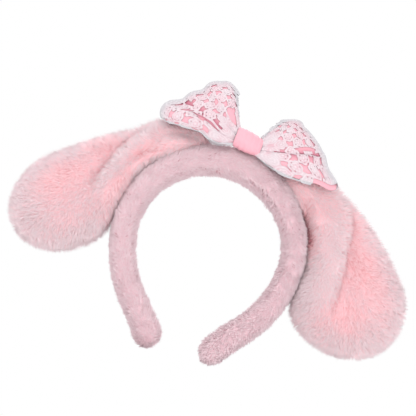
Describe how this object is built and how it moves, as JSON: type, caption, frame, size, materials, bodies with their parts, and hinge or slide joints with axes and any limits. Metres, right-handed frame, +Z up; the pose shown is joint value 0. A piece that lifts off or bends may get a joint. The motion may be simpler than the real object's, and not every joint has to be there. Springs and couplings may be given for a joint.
{
  "type": "animal ears headband",
  "caption": "Plush-covered horseshoe hair band with long drooping rabbit ears that lift at their gathered roots, and a satin bow under lace beside the crown.",
  "frame": {"origin": "middle of the crown's inside face, where the band rests on the head", "axes": "+Z up as worn, +X to the right as the wearer is seen from the front, -Y is the front, the bow's side"},
  "size_m": [0.3104, 0.0426, 0.2071],
  "materials": {
    "band_plush": "short pile plush, mauve pink",
    "ear_plush": "long pile plush, salmon pink at the roots and pale at the tips",
    "pad_fibre": "loose polyester wadding",
    "foam": "open-cell foam",
    "core_plastic": "moulded plastic strip",
    "satin": "glossy satin ribbon, pink",
    "lace": "openwork lace, white",
    "felt": "felt",
    "thread": "sewing thread"
  },
  "bodies": {
    "headband": {"band_core": "core_plastic", "band_foam": "foam", "band_cover": "band_plush", "band_seam_thread": "thread", "left_ear_tack_thread": "thread", "right_ear_tack_thread": "thread", "bow_left_satin_loop": "satin", "bow_right_satin_loop": "satin", "bow_left_lace_loop": "lace", "bow_right_lace_loop": "lace", "bow_wrap": "satin", "bow_gather_thread": "thread", "bow_felt_pad": "felt", "bow_tack_thread": "thread"},
    "left_ear": {"left_ear_front_panel": "ear_plush", "left_ear_back_panel": "ear_plush", "left_ear_filling": "pad_fibre", "left_ear_edge_thread": "thread", "left_ear_root": "ear_plush"},
    "right_ear": {"right_ear_front_panel": "ear_plush", "right_ear_back_panel": "ear_plush", "right_ear_filling": "pad_fibre", "right_ear_edge_thread": "thread", "right_ear_root": "ear_plush"}
  },
  "joints": [
    {"name": "left_ear_lift", "type": "hinge", "parent": "headband", "child": "left_ear", "pos_m": [-0.047, 0.006, 0.017], "axis": [0, 1, 0], "range_deg": [0, 60]},
    {"name": "right_ear_lift", "type": "hinge", "parent": "headband", "child": "right_ear", "pos_m": [0.047, 0.006, 0.017], "axis": [0, -1, 0], "range_deg": [0, 60]}
  ]
}
